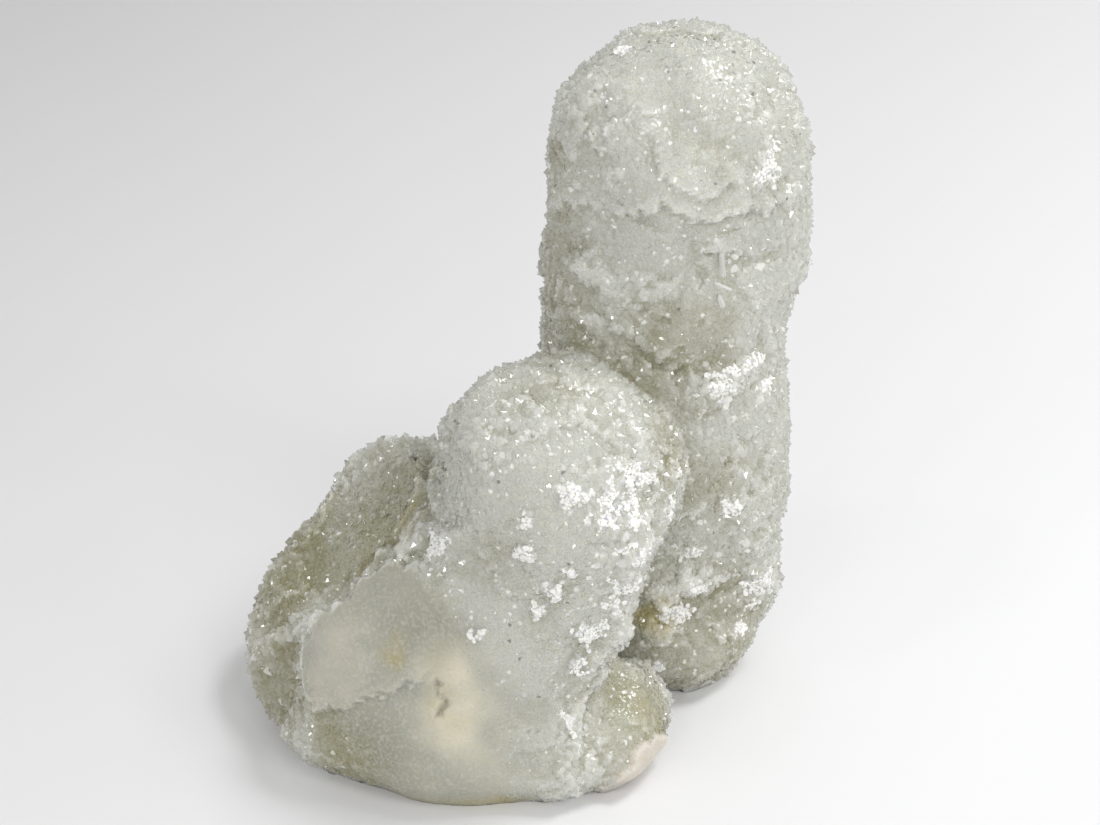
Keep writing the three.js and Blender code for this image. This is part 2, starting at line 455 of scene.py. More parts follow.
def ledge_height(points):
    """The height of the layers that end in a ledge: it jumps at the scalloped edge, then fades
    into the layer; near the ends of the path the whole ledge dies out."""
    total = np.zeros(len(points))
    for number, (height, fade, path) in enumerate(LEDGES):
        middle = np.mean(path, axis=0)
        reach = np.linalg.norm(np.array(path) - middle, axis=1).max() + 2 * fade
        nearby = np.flatnonzero(np.linalg.norm(points - middle, axis=1) < reach)
        p = points[nearby]
        distance, left = path_offsets(p, path)
        aside = np.sqrt(np.maximum(distance ** 2 - left ** 2, 0))
        s = (left + 1.0 * lattice_noise(p, 2.8, 20 + number)
             + 0.85 * lattice_noise(p, 1.3, 40 + number)
             + 0.45 * lattice_noise(p, 0.7, 80 + number))
        rise = ease(-LEDGE_STEP, LEDGE_STEP, s) * np.exp(-np.maximum(s, 0) / fade)
        along = 1 - ease(*LEDGE_ENDS, aside)
        near = 1 - ease(2 * fade - 3, 2 * fade, distance)
        total[nearby] += height * rise * along * near
    return total


# The left finger is scooped out behind the plate on the front: the plane of the plate's upper
# edge, and the middle, reach, depth and fade of the scoop, mm.
PLATE_EDGE = np.array([-21.1, -11.6, 24.9])
PLATE_BEYOND = np.array([-0.69, 0.0, 0.725])
SCOOP = dict(middle=(-20, -9, 27), reach=24, depth=1.5, fade=12.0)

# The plane that the left finger's sloping side is worn down to: its normal, and its distance from
# the origin, mm. The front finger, beyond these x and y, keeps its shape.
SIDE_NORMAL = np.array([-0.64, -0.177, 0.748])
SIDE_DISTANCE = 34.9
SIDE_X, SIDE_Y, SIDE_END = (-11.5, -14), (-3, 1), (-5, -8)


def scooped(points):
    """How deep the left finger is scooped: full at the plate's edge, fading away from it."""
    beyond = (points - PLATE_EDGE) @ PLATE_BEYOND
    s = beyond + 0.5 * lattice_noise(points, 2.4, 15) + 0.25 * lattice_noise(points, 1.1, 16)
    far = np.linalg.norm(points - np.array(SCOOP["middle"]), axis=1)
    around = 1 - ease(0.7 * SCOOP["reach"], SCOOP["reach"], far)
    fading = np.exp(-np.maximum(s, 0) / SCOOP["fade"])
    return SCOOP["depth"] * ease(-CRISP, CRISP, s) * fading * around


def worn_down(points):
    """The points with those beyond the left finger's side plane brought back to it, by the
    smooth excess 0.5 * (e + sqrt(e^2 + 0.5)) where e is how far a point lies beyond."""
    excess = points @ SIDE_NORMAL - SIDE_DISTANCE
    excess = 0.5 * (excess + np.sqrt(excess ** 2 + 0.5)) * ease(-3, -1, excess)
    clear = np.maximum(ease(*SIDE_X, points[:, 0]), ease(*SIDE_Y, points[:, 1]))
    clear = clear * ease(*SIDE_END, points[:, 0])
    return points - (excess * clear)[:, None] * SIDE_NORMAL


# The crack in the waxy foot, and the crevice at the left of the head.
CRACKS = [[(-10.6, -25.2, 18.2), (-10.2, -25.7, 17.0), (-9.3, -26.1, 15.8), (-10.1, -26.3, 14.5)],
          [(4.3, 8.3, 76.9), (4.3, 7.7, 75.4), (4.6, 6.6, 74.2), (5.6, 4.9, 73.4)]]
CRACK_DEPTH = 0.8      # mm
CRACK_WALL = (0.15, 0.75)  # how far from its path a crack is full depth and gone, mm


def from_crack(points, path):
    """How far each point is from a crack's path, made ragged by noise."""
    far = path_offsets(points, path)[0]
    return far + 0.3 * lattice_noise(points, 0.9, 10) + 0.12 * lattice_noise(points, 0.5, 11)


# The crust's noise, each octave a height and a size in mm and a seed, and its heights, mm.
KNOBS = [(0.35, 6.5, 1), (0.12, 3.0, 2)]
RIM_WANDER = [(0.3, 2.2, 4), (0.18, 1.0, 17)]
WAXY_DENTS = [(0.35, 7.0, 12), (0.16, 3.5, 8), (0.05, 1.6, 9)]
NODULES = [(3.1, 100), (1.5, 110)]     # size and seed
NODULE = 0.14          # height of the round nodules
FLAKES = 0.3           # height of the flakes where crystals are crushed
KNOT, KNOT_NODULE = 0.4, 1.3           # heights of the knots and of the nodules on them
EVEN_LAYERS = 0.4      # what the layers come to where the crust is even
CRUST_SUNK = 1.3       # how far the mean crust lies inside the fingers' own surface
UNDERCUT = 1.2         # how far the foot draws in at the floor
UNDERCUT_TOP = 5       # how high above the floor it begins to

# Layers of crust: height, mm, the levels of noise between which the rim rises, that noise's size
# and seed, and which way the rim wanders.
LAYERS = [(0.55, (0.0, 0.05), 8.5, 3, 1), (0.42, (0.12, 0.17), 6.0, 18, -1)]


def crust_relief(points, waxy):
    """The height of the crust under its crystals: broad knobs, layers whose scalloped rims run
    where noise passes a level, and round nodules, all gone on the waxy foot, with the ledges,
    the plate, flakes and knots added and the scoop, the undercut and the cracks taken off."""
    knobs = layered_noise(points, KNOBS)
    wander = layered_noise(points, RIM_WANDER)
    layers = sum(height * ease(*levels, lattice_noise(points, size, seed) + way * wander)
                 for height, levels, size, seed, way in LAYERS)
    bumps = sum(NODULE * nodules(points, size, seed) for size, seed in NODULES)
    layers = EVEN_LAYERS + (layers - EVEN_LAYERS) * (1 - even_share(points))
    waxy_dents = layered_noise(points, WAXY_DENTS)
    height = (1 - waxy) * (knobs + layers + bumps - CRUST_SUNK) + waxy * waxy_dents
    flakes = FLAKES * crushed_share(points) * (1 + lattice_noise(points, 1.1, 92))
    height = height + ledge_height(points) + plate_height(points) + flakes - scooped(points)
    height = height + knot_share(points) * (KNOT + KNOT_NODULE * nodules(points, 2.3, 120))
    height = height - UNDERCUT * (1 - ease(0, UNDERCUT_TOP, points[:, 2]))
    for path in CRACKS:
        height = height - CRACK_DEPTH * (1 - ease(*CRACK_WALL, from_crack(points, path)))
    return height


SKIN_ROUNDS = 10       # of smoothing, where the fingers meet
WAXY_ROUNDS = 100      # of smoothing on the waxy foot

skin, skin_quads = skin_over(FINGERS)
skin = worn_down(relaxed(skin, skin_quads, 0.5, SKIN_ROUNDS))
skin = relaxed(skin, skin_quads, 0.6 * waxiness(skin), WAXY_ROUNDS)
waxy = waxiness(skin)
skin = skin + point_normals(skin, skin_quads) * crust_relief(skin, waxy)[:, None]
skin[:, 2] = np.maximum(skin[:, 2], 0)
normals = point_normals(skin, skin_quads)

# How far each point stands proud of its smoothed surroundings, from 0 in a dip to 1 on a rim,
# against fine and broad surroundings: rounds of smoothing, the height in mm and half its share.
# The colours use it to paint shade into the dips and to lighten the rims, partly as painted light.
SURROUNDINGS = [(6, 0.09, 0.35), (40, 0.35, 0.15)]
proud = np.zeros(len(skin))
for rounds, height, weight in SURROUNDINGS:
    lift = ((skin - relaxed(skin, skin_quads, 0.7, rounds)) * normals).sum(1)
    proud += weight + weight * np.tanh(lift / height)

# Clearer quartz, which shows its deep grey olive; the same mask also holds painted shade, darkening the
# left sides of the tall finger and its head, turned from the lamps, the top of the left finger, the dip
# between the fingers and the crevice by the rear foot.
OLIVE_AND_SHADE_ZONES = [
    ((4, 4, 52), (8, 14, 24), 0.58),
    ((8, -2, 36), (10, 9, 9), 0.8),
    ((-20, -1, 24), (20, 19, 22), 0.72),
    ((-31, 1, 19), (13, 15, 15), 1.0),
    ((-9, -21, 24), (10, 7, 6), 0.45),
    ((-30, -10, 8), (10, 14, 14), 0.9),
    ((-19, -22, 6), (12, 10, 10), 1.0),
    ((21, 0, 8), (18, 12, 17), 0.56),
    ((13, -17, 7), (10, 10, 11), 0.75),
    ((20, -4, 53), (12, 6, 9), 0.5),
    ((22, -3, 34), (12, 7, 8), 0.45),
    ((2, 20, 14), (18, 14, 20), 0.6),
    ((3.2, 7.5, 75), (2.6, 5, 4), 0.8),
    ((9, -1.5, 47), (12, 7, 5.5), 0.75),
    ((19, -14, 45), (8, 9, 9), 0.65),
    ((15, -4, 9), (6, 6, 7), 0.35),
    ((5, -13, 54), (12, 9, 5), 0.35),
    ((22, -3, 46), (4, 4, 5), 0.4),
]
olive_and_shade_share = zoned(OLIVE_AND_SHADE_ZONES, 0.15, 6.0, 50, soft=0.75)

# Straw yellow stains of iron.
STAINS = [
    ((-15.1, -22.6, 19.4), (3.2, 3.5, 3.8), 0.95),
    ((-9.4, -25.5, 15.4), (4.5, 3.5, 6.5), 0.3),
    ((-14.5, -8, 32), (2.6, 7, 6), 0.4),
    ((16.8, -3.4, 13.8), (4.2, 4.6, 3.8), 0.95),
    ((-6.5, -26.8, 0.3), (11, 6, 3.0), 0.95),
    ((12.5, -19, 7), (7, 7, 8), 0.25),
]
stain_share = zoned(STAINS, 0.5, 2.6, 55, soft=0.9)

# Creamy clouds in the waxy foot, and a beige one in its plate.
CREAM_ZONES = [
    ((-7, -26, 14.5), (9, 8, 12), 0.9),
    ((-5.0, -27, 6), (9, 7, 9), 0.35),
    ((-22.5, -20, 18), (7, 7, 7), 0.15),
    ((15.5, -20.5, 2.0), (8, 7, 6), 1.0),
]
cream_share = zoned(CREAM_ZONES, 0.55, 4.0, 57, soft=0.9)
PLATE_CLOUD = [((-23.2, -20, 17.5), (6.5, 8, 6.5), 0.4)]
plate_cloud_share = zoned(PLATE_CLOUD, 0.5, 2.2, 68, soft=0.7)

# Painted shade: the cracks are coloured dark.
CRACK_SHADES = (1.0, 0.5)      # how dark each crack is
CRACK_DARK = (0.1, 0.8)        # how far from its path it is dark, mm


def crack_shade_share(points):
    """Where the cracks are painted dark as shade."""
    return sum(shade * (1 - ease(*CRACK_DARK, from_crack(points, path)))
               for shade, path in zip(CRACK_SHADES, CRACKS))


def add_mask(piece, name, values):
    """A number between 0 and 1 on every point, for the material to read by name."""
    layer = piece.data.attributes.new(name, "FLOAT", "POINT")
    layer.data.foreach_set("value", np.asarray(values, np.float32))


def add_node(tree, kind, settings=(), **values):
    """A node with its settings and the values or links of its inputs, which are named with _
    for a space."""
    node = tree.nodes.new(kind)
    for name, value in dict(settings).items():
        setattr(node, name, value)
    for name, value in values.items():
        socket = next(s for s in node.inputs if s.enabled and s.name.replace(" ", "_") == name)
        if isinstance(value, bpy.types.NodeSocket):
            tree.links.new(value, socket)
        else:
            socket.default_value = value
    return node


def mask_of(tree, name):
    """The output of a mask of the mesh."""
    return add_node(tree, "ShaderNodeAttribute", {"attribute_name": name}).outputs["Fac"]


def blended(tree, share, first, second):
    """The colour that goes from first to second as share goes from 0 to 1."""
    node = add_node(tree, "ShaderNodeMix", {"data_type": "RGBA"}, Factor=share, A=first, B=second)
    return node.outputs[2]


def computed(tree, operation, *values):
    """The output of a Math node, such as MULTIPLY_ADD: first * second + third."""
    node = add_node(tree, "ShaderNodeMath", {"operation": operation})
    for socket, value in zip(node.inputs, values):
        if isinstance(value, bpy.types.NodeSocket):
            tree.links.new(value, socket)
        else:
            socket.default_value = value
    return node.outputs[0]


def noise_of(tree, coordinates, size, detail):
    """Noise of the given size in metres."""
    noise = add_node(tree, "ShaderNodeTexNoise", Vector=coordinates, Scale=1 / size, Detail=detail)
    return noise.outputs["Fac"]


def swing_of(tree, coordinates, size, detail, swing):
    """Noise of the given size in metres that swings about 0 by half of swing."""
    noise = noise_of(tree, coordinates, size, detail)
    return computed(tree, "MULTIPLY_ADD", noise, swing, -swing / 2)


def clamped(tree, value, most=1.0):
    """The value held between 0 and most."""
    return add_node(tree, "ShaderNodeClamp", Value=value, Max=most).outputs[0]


# Sizes of the patches in the quartz, from its broad clouds down to single grains, m.
CLOUD, PATCH, MOTTLE, GRAIN = 0.009, 0.003, 0.0013, 0.00042
# Painted sparkles: the white grains stand for glints; the dark ones are specks.
SPARK_FROM, SPECK_FROM = 0.99, 0.9985      # grains drawn above these are white, or dark
SPECK = (0.06, 0.055, 0.04, 1)
CRUSHED_ROUGHNESS = 0.85


def cloudy_quartz():
    """The colours of all the quartz: pale where it is milky or proud, deep where it is clear, and deep
    in dips as painted shade; rims are lightened towards white, partly as painted light and partly
    for their whiter crust. The olive_and_shade mask adds painted shade, white grains and the glow
    mask paint sparkles, and it is clouded in broad and fine patches, with dark specks, stained in
    places and white where crushed."""
    tree = bpy.data.node_groups.new("cloudy_quartz", "ShaderNodeTree")
    for name, kind in (("Pale", "Color"), ("Deep", "Color"), ("Stain", "Color"), ("White", "Color"),
                       ("Gloss Roughness", "Float"), ("Crushed Roughness", "Float")):
        tree.interface.new_socket(name, in_out="INPUT", socket_type="NodeSocket" + kind)
    tree.interface.new_socket("Color", in_out="OUTPUT", socket_type="NodeSocketColor")
    tree.interface.new_socket("Roughness", in_out="OUTPUT", socket_type="NodeSocketFloat")
    given = tree.nodes.new("NodeGroupInput").outputs
    result = tree.nodes.new("NodeGroupOutput").inputs
    place = add_node(tree, "ShaderNodeTexCoord").outputs["Object"]
    patches = computed(tree, "ADD", swing_of(tree, place, CLOUD, 2, 0.9),
                       swing_of(tree, place, PATCH, 2, 0.3))
    fine = swing_of(tree, place, MOTTLE, 3, 0.3)
    grains = add_node(tree, "ShaderNodeTexVoronoi", Vector=place, Scale=1 / GRAIN)
    drawn = add_node(tree, "ShaderNodeSeparateColor", Color=grains.outputs["Color"]).outputs
    fine = computed(tree, "MULTIPLY_ADD", drawn[0], 0.1, computed(tree, "SUBTRACT", fine, 0.05))
    # Painted sparkles: a few grains are turned white.
    spark = computed(tree, "GREATER_THAN", drawn[1], SPARK_FROM)
    spark = computed(tree, "MULTIPLY", spark, 0.7)
    speck = computed(tree, "GREATER_THAN", drawn[2], SPECK_FROM)
    speck = computed(tree, "MULTIPLY", speck, 0.6)
    # Painted shade: dips go towards the deep colour.
    hollow_shade = computed(tree, "MULTIPLY_ADD", mask_of(tree, "proud"), -0.6, 0.34)
    # The olive_and_shade mask adds the deep olive of clear quartz and painted shade.
    share = computed(tree, "ADD", mask_of(tree, "olive_and_shade"), computed(tree, "ADD", patches, fine))
    share = clamped(tree, computed(tree, "ADD", share, hollow_shade))
    colour = blended(tree, share, given["Pale"], given["Deep"])
    colour = blended(tree, mask_of(tree, "stained"), colour, given["Stain"])
    # Rims are lightened towards white: painted light, and partly their whiter crust.
    rim = computed(tree, "MULTIPLY_ADD", mask_of(tree, "proud"), 1.2, -0.95)
    colour = blended(tree, clamped(tree, rim, 0.2), colour, given["White"])
    colour = blended(tree, spark, colour, given["White"])
    colour = blended(tree, speck, colour, SPECK)
    # The glow mask paints crystals white, partly as painted sparkle.
    colour = blended(tree, mask_of(tree, "glow"), colour, given["White"])
    crushed = mask_of(tree, "crushed")
    tree.links.new(blended(tree, crushed, colour, given["White"]), result["Color"])
    dull = computed(tree, "SUBTRACT", given["Crushed Roughness"], given["Gloss Roughness"])
    roughness = computed(tree, "MULTIPLY_ADD", crushed, dull, given["Gloss Roughness"])
    tree.links.new(roughness, result["Roughness"])
    return tree


# Colours of the quartz where milky, where clear and in painted shade, where stained, and of its frost
# and powder and painted sparkles.
PALE = (0.572, 0.575, 0.517, 1)
DEEP = (0.32, 0.302, 0.187, 1)
STAIN = (0.46, 0.405, 0.215, 1)
WHITE = (0.97, 0.964, 0.935, 1)
QUARTZ_IOR = 1.544
quartz_colours = cloudy_quartz()


def quartz_material(name, roughness):
    """A material whose colour and roughness come from the group, with the gloss of quartz."""
    material = bpy.data.materials.new(name)
    material.use_nodes = True
    tree = material.node_tree
    shader = tree.nodes["Principled BSDF"]
    colours = add_node(tree, "ShaderNodeGroup", {"node_tree": quartz_colours},
                       Pale=PALE, Deep=DEEP, Stain=STAIN, White=WHITE,
                       Gloss_Roughness=roughness, Crushed_Roughness=CRUSHED_ROUGHNESS)
    tree.links.new(colours.outputs["Color"], shader.inputs["Base Color"])
    tree.links.new(colours.outputs["Roughness"], shader.inputs["Roughness"])
    shader.inputs["IOR"].default_value = QUARTZ_IOR
    return material, tree, shader, colours


# Colours of the waxy foot, where clear, where olive and in painted shade, where creamy, its frost, its
# broken patch and the painted shade in its crack.
GREY_GREEN = (0.41, 0.407, 0.343, 1)
WAXY_OLIVE_AND_SHADE = (0.33, 0.315, 0.235, 1)
CREAM = (0.74, 0.695, 0.55, 1)
FROST = (0.6, 0.592, 0.525, 1)
BEIGE = (0.62, 0.575, 0.505, 1)
PAINTED_CRACK_SHADE = (0.11, 0.09, 0.06, 1)
WAXY_CLOUD, FROST_GRAIN = 0.006, 0.00045   # sizes of its clouds and its frost, m
LIGHT_REACH = 0.003    # how far light goes into milky quartz, m


def milky_material():
    """The body's milky quartz: light goes a few millimetres into it; the waxy foot is grey green
    with creamy clouds and a fine frost, deep with painted shade where the olive_and_shade mask
    says, and its cracks are painted dark as shade."""
    material, tree, shader, colours = quartz_material("milky_quartz", 0.42)
    place = add_node(tree, "ShaderNodeTexCoord").outputs["Object"]
    clouds = swing_of(tree, place, WAXY_CLOUD, 3, 0.9)
    clouds = clamped(tree, computed(tree, "ADD", clouds, mask_of(tree, "cream")))
    frost = noise_of(tree, place, FROST_GRAIN, 5)
    waxy_colour = blended(tree, clouds, GREY_GREEN, CREAM)
    # The waxy foot's olive, partly painted shade, from the same mask.
    waxy_colour = blended(tree, mask_of(tree, "olive_and_shade"), waxy_colour, WAXY_OLIVE_AND_SHADE)
    waxy_colour = blended(tree, mask_of(tree, "stained"), waxy_colour, STAIN)
    frosted = computed(tree, "MULTIPLY_ADD", frost, 2.6, -1.15)
    waxy_colour = blended(tree, clamped(tree, frosted, 0.6), waxy_colour, FROST)
    cover = computed(tree, "MULTIPLY_ADD", frost, 1.4, -1.15)
    cover = computed(tree, "MULTIPLY_ADD", mask_of(tree, "waxy"), 1.5, cover)
    colour = blended(tree, clamped(tree, cover), colours.outputs["Color"], waxy_colour)
    colour = blended(tree, mask_of(tree, "broken"), colour, BEIGE)
    # Painted shade: the cracks are coloured dark brown.
    crack_shading = computed(tree, "MULTIPLY_ADD", frost, 4.0, -4.0)
    crack_shading = computed(tree, "MULTIPLY_ADD", mask_of(tree, "crack_shade"), 5.0, crack_shading)
    colour = blended(tree, clamped(tree, crack_shading), colour, PAINTED_CRACK_SHADE)
    tree.links.new(colour, shader.inputs["Base Color"])
    frosty = add_node(tree, "ShaderNodeBump", Strength=0.7, Distance=0.0004, Height=frost).outputs[0]
    tree.links.new(frosty, shader.inputs["Normal"])
    shader.inputs["Subsurface Weight"].default_value = 1.0
    shader.inputs["Subsurface Scale"].default_value = LIGHT_REACH
    shader.inputs["Subsurface Radius"].default_value = (1.0, 0.95, 0.7)
    return material


body = mesh_object("quartz_body", skin * MM, skin_quads.tolist())
body.data.shade_smooth()
masks = {
    "waxy": waxiness(skin),
    "proud": proud,
    "olive_and_shade": olive_and_shade_share(skin),
    "stained": stain_share(skin),
    "crushed": crushed_share(skin),
    "cream": cream_share(skin),
    "broken": np.maximum(broken_share(skin), plate_cloud_share(skin)),
    "crack_shade": crack_shade_share(skin),
}
for name, values in masks.items():
    add_mask(body, name, values)
body.data.materials.append(milky_material())
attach(body, "root")
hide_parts("quartz_specimen")

# ---------------------------------------------------------------------------------------------
# The sugar: some fifty thousand clear six-sided quartz points, mostly under a millimetre across,
# that grew close together on every finger. Each part of the piece has one mesh of them.
# ---------------------------------------------------------------------------------------------

SPACING = 0.6          # a lattice cube that holds one crystal, mm
SUGAR_RADIUS = 0.385   # of a common crystal, mm
SMALLEST, LARGEST = 0.14, 0.72     # radius, mm
CORNERS = 6
CORNER_REACH = (0.82, 1.12)    # how far a corner stands out, in radii
CORNER_LIFT = 0.18     # how far a corner stands above or below its ring, in radii
OFF_MIDDLE = 0.16      # how far a point stands off the middle, in radii
AXIS_SPREAD = 0.3      # how far the crystals lean apart
SIZE_SPREAD = 0.33     # how much their sizes differ
BARE_SMALLER, EVEN_SMALLER, COARSE_LARGER = 0.5, 0.34, 0.7     # shares of their size
THIN_OUT = (0.7, 1.0)  # bareness between which they thin out
LOWEST = 1.0           # of their places above the floor, mm
ABOVE_FLOOR = 0.05     # how far the whole of each stays above it, mm
FROM_CRACK = 0.4       # how far their places stay from a crack, mm
SOFTENED = 0.52        # share of the crust's own normal in the shading of a clear face
EVEN_SOFTENED = 0.36   # how much more of it where the crust is even
TRIES = 9              # random points on the skin for each lattice square of it
CELL_KEY = np.array([1, 4096, 4096 * 4096])    # makes one number of a cube's three

# Where the crystals are larger, and where more of them are painted white, partly frost and partly
# painted sparkle.
COARSE = [((-30, -10, 8), (9, 13, 13), 0.8), ((33, 8, 60), (6, 14, 16), 0.4)]
coarse_share = zoned(COARSE, 0.2, 5.0, 67, soft=0.6)
FROST_AND_SPARKLE = [
    ((8, -23, 27), (9, 8, 16), 0.7),
    ((-10, -17, 33), (4, 4, 3.5), 1.0),
    ((26, -2, 46), (8, 6, 5), 0.6),
    ((24, 0, 14), (10, 6, 11), 0.5),
    ((24, -2, 66), (8, 6, 8), 0.6),
]
frost_and_sparkle_share = zoned(FROST_AND_SPARKLE, 0.6, 1.6, 64, soft=0.6)


def at_places(values, held, share):
    """The values of the skin's points at places on it: the sum over the three corners of the
    face that holds each place, by their shares."""
    return (values[held] * (share if values.ndim == 1 else share[:, :, None])).sum(1)


def places_on(points, quads, spacing, seed):
    """Scattered places on the skin, one in each cube of a lattice of the given spacing: of many
    random points on the skin, the first to fall in a cube is kept. Gives the three corners of
    the face that holds each place, and their shares in it."""
    rng = np.random.default_rng(seed)
    tris = np.vstack([quads[:, [0, 1, 2]], quads[:, [0, 2, 3]]])
    p = points[tris]
    area = 0.5 * np.linalg.norm(np.cross(p[:, 1] - p[:, 0], p[:, 2] - p[:, 0]), axis=1)
    count = int(TRIES * area.sum() / spacing ** 2)
    chosen = tris[rng.choice(len(tris), count, p=area / area.sum())]
    u, v = rng.random((2, count))
    u, v = np.where(u + v > 1, 1 - u, u), np.where(u + v > 1, 1 - v, v)
    share = np.stack([1 - u - v, u, v], 1)
    cells = np.floor(at_places(points, chosen, share) / spacing).astype(np.int64) @ CELL_KEY
    first = np.unique(cells, return_index=True)[1]
    return chosen[first], share[first]


def crystals(spots, axes, radius, heights, tip, root, rng):
    """Six-sided crystals as one mesh, 12 faces each with one ring of corners and 24 with two.
    Corner k of a ring stands at place + height * axis + radius * (cos(turn + 60 k) * side +
    sin(turn + 60 k) * other), a little in or out at random; the point stands at place + tip *
    axis, a little off the middle, and the hidden root at place - root * axis."""
    count, rings = heights.shape
    helper = np.where(np.abs(axes[:, 2:]) < 0.9, [[0.0, 0, 1]], [[1.0, 0, 0]])
    side = unit(np.cross(helper, axes))
    other = np.cross(axes, side)
    turn = rng.random((count, 1)) * 2 * np.pi + np.arange(CORNERS) * 2 * np.pi / CORNERS
    reach = radius[:, None] * rng.uniform(*CORNER_REACH, (count, CORNERS))
    outward = ((reach * np.cos(turn))[:, :, None] * side[:, None]
               + (reach * np.sin(turn))[:, :, None] * other[:, None])
    uneven = rng.uniform(-CORNER_LIFT, CORNER_LIFT, (count, rings, CORNERS))
    lift = heights[:, :, None] + radius[:, None, None] * uneven
    ring = spots[:, None, None] + lift[..., None] * axes[:, None, None] + outward[:, None]
    shift = radius[:, None] * rng.normal(0, OFF_MIDDLE, (count, 2))
    point = spots + tip[:, None] * axes + shift[:, :1] * side + shift[:, 1:] * other
    base = spots - root[:, None] * axes
    verts = np.concatenate([ring.reshape(count, -1, 3), point[:, None], base[:, None]], 1)
    k = np.arange(CORNERS)
    nxt = (k + 1) % CORNERS
    last = rings * CORNERS
    faces = [np.stack([k + last - CORNERS, nxt + last - CORNERS, np.full(CORNERS, last)], 1),
             np.stack([nxt, k, np.full(CORNERS, last + 1)], 1)]
    if rings == 2:
        faces += [np.stack([k, nxt, nxt + CORNERS], 1), np.stack([k, nxt + CORNERS, k + CORNERS], 1)]
    faces = np.vstack(faces) + (last + 2) * np.arange(count)[:, None, None]
    return verts.reshape(-1, 3), faces.reshape(-1, 3)


def crystal_piece(name, material, verts, faces, count, masks, own_normal, softened):
    """A finished piece of many crystals: each crystal carries its own masks, and the normals of
    its faces lean by the softened share to the normal of the crust that it stands on, because
    light goes through a clear crystal to the crust. Each crystal has a cell of its own in the
    flat map, where its corners lie on a circle round its point."""
    piece = mesh_object(name, verts * MM, faces.tolist())
    mesh = piece.data
    each = len(verts) // count
    for mask, values in masks.items():
        add_mask(piece, mask, np.repeat(values, each))
    p = verts[faces]
    softened = np.repeat(softened, len(faces) // count)[:, None]
    lean = unit(np.cross(p[:, 1] - p[:, 0], p[:, 2] - p[:, 0])) * (1 - softened)
    lean = unit(lean + softened * np.repeat(own_normal, len(faces) // count, axis=0))
    mesh.shade_smooth()
    mesh.normals_split_custom_set(np.repeat(lean, 3, axis=0))
    mesh.materials.append(material)

    in_row = int(np.ceil(np.sqrt(count)))
    angle = np.arange(each - 2) * 2 * np.pi / CORNERS
    spoke = 0.42 - 0.08 * (np.arange(each - 2) // CORNERS)
    local = 0.5 + np.stack([spoke * np.cos(angle), spoke * np.sin(angle)], 1)
    local = np.vstack([local, [(0.5, 0.5), (0.5, 0.5)]])
    cell = np.stack(np.divmod(np.arange(count), in_row), 1)
    flat = ((cell[:, None] + local) / in_row).reshape(-1, 2)
    layer = mesh.uv_layers.new(name="OFBake")
    layer.uv.foreach_set("vector", flat[faces.ravel()].astype(np.float32).ravel())
    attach(piece, "root")
    return piece


held, share = places_on(skin, skin_quads, SPACING, 11)
rng = np.random.default_rng(12)
spots, bare = at_places(skin, held, share), at_places(waxy, held, share)
keep = (rng.random(len(spots)) > ease(*THIN_OUT, bare)) & (spots[:, 2] > LOWEST)
for path in CRACKS:
    keep &= from_crack(spots, path) > FROM_CRACK
held, share, spots, bare = (values[keep] for values in (held, share, spots, bare))
up = unit(at_places(normals, held, share))
even, coarse = even_share(spots), coarse_share(spots)
count = len(spots)
size = np.exp(rng.normal(0, SIZE_SPREAD, count)) * (1 + 0.4 * lattice_noise(spots, 5.0, 14))
size = size * (1 - BARE_SMALLER * bare) * (1 - EVEN_SMALLER * even)
radius = SUGAR_RADIUS * size * (1 + COARSE_LARGER * coarse)
radius = np.clip(radius, SMALLEST, LARGEST + 0.3 * coarse)
sunk = (0.95 * bare + 0.4 * even * rng.random(count)) * radius
spots = spots - sunk[:, None] * up
axes = unit(up + rng.normal(0, AXIS_SPREAD, (count, 3)))
shoulder = radius * rng.uniform(-0.1, 0.7, count)
pointed = radius * (1 - 0.3 * even) * rng.uniform(0.55, 1.0, count)
tip = shoulder + pointed * np.exp(rng.normal(0, 0.2, count))
root = radius * rng.uniform(0.7, 1.0, count)
keep = spots[:, 2] - (root + radius) >= ABOVE_FLOOR
held, share, spots, up, radius, axes, shoulder, tip, root, even = (
    values[keep] for values in (held, share, spots, up, radius, axes, shoulder, tip, root, even))
count = len(spots)
# Painted sparkle: a few crystals everywhere, and more in the frost and sparkle zones, are painted white
# for glints; near crushed places and on the knots they are whitened too.
frost = 0.02 + 0.13 * frost_and_sparkle_share(spots)
masks = {
    "proud": np.clip(at_places(proud, held, share) + 0.06 * rng.normal(0, 1, count), 0, 1),
    "olive_and_shade": olive_and_shade_share(spots),
    "stained": stain_share(spots),
    "glow": (rng.random(count) < frost) * rng.uniform(0.4, 1.0, count),
    "gloss": np.where(rng.random(count) < 0.75 - 0.25 * even, 1.0, 0.35),
}
haze = zone_share(spots, CRUSHED, 0.5 * lattice_noise(spots, 1.5, 63) - 0.45, 0.5)
masks["glow"] = np.maximum(masks["glow"], 0.26 * haze * rng.random(count) ** 1.5)
masks["glow"] = np.maximum(masks["glow"], 0.45 * knot_share(spots))
crushed = crushed_share(spots) > 0.5

clear_points, tree, shader, _ = quartz_material("clear_points", 0.22)
facet = add_node(tree, "ShaderNodeNewGeometry").outputs["True Normal"]
tree.links.new(facet, shader.inputs["Coat Normal"])
tree.links.new(mask_of(tree, "gloss"), shader.inputs["Coat Weight"])
shader.inputs["Transmission Weight"].default_value = 0.3
shader.inputs["Coat Roughness"].default_value = 0.05
shader.inputs["Coat IOR"].default_value = QUARTZ_IOR

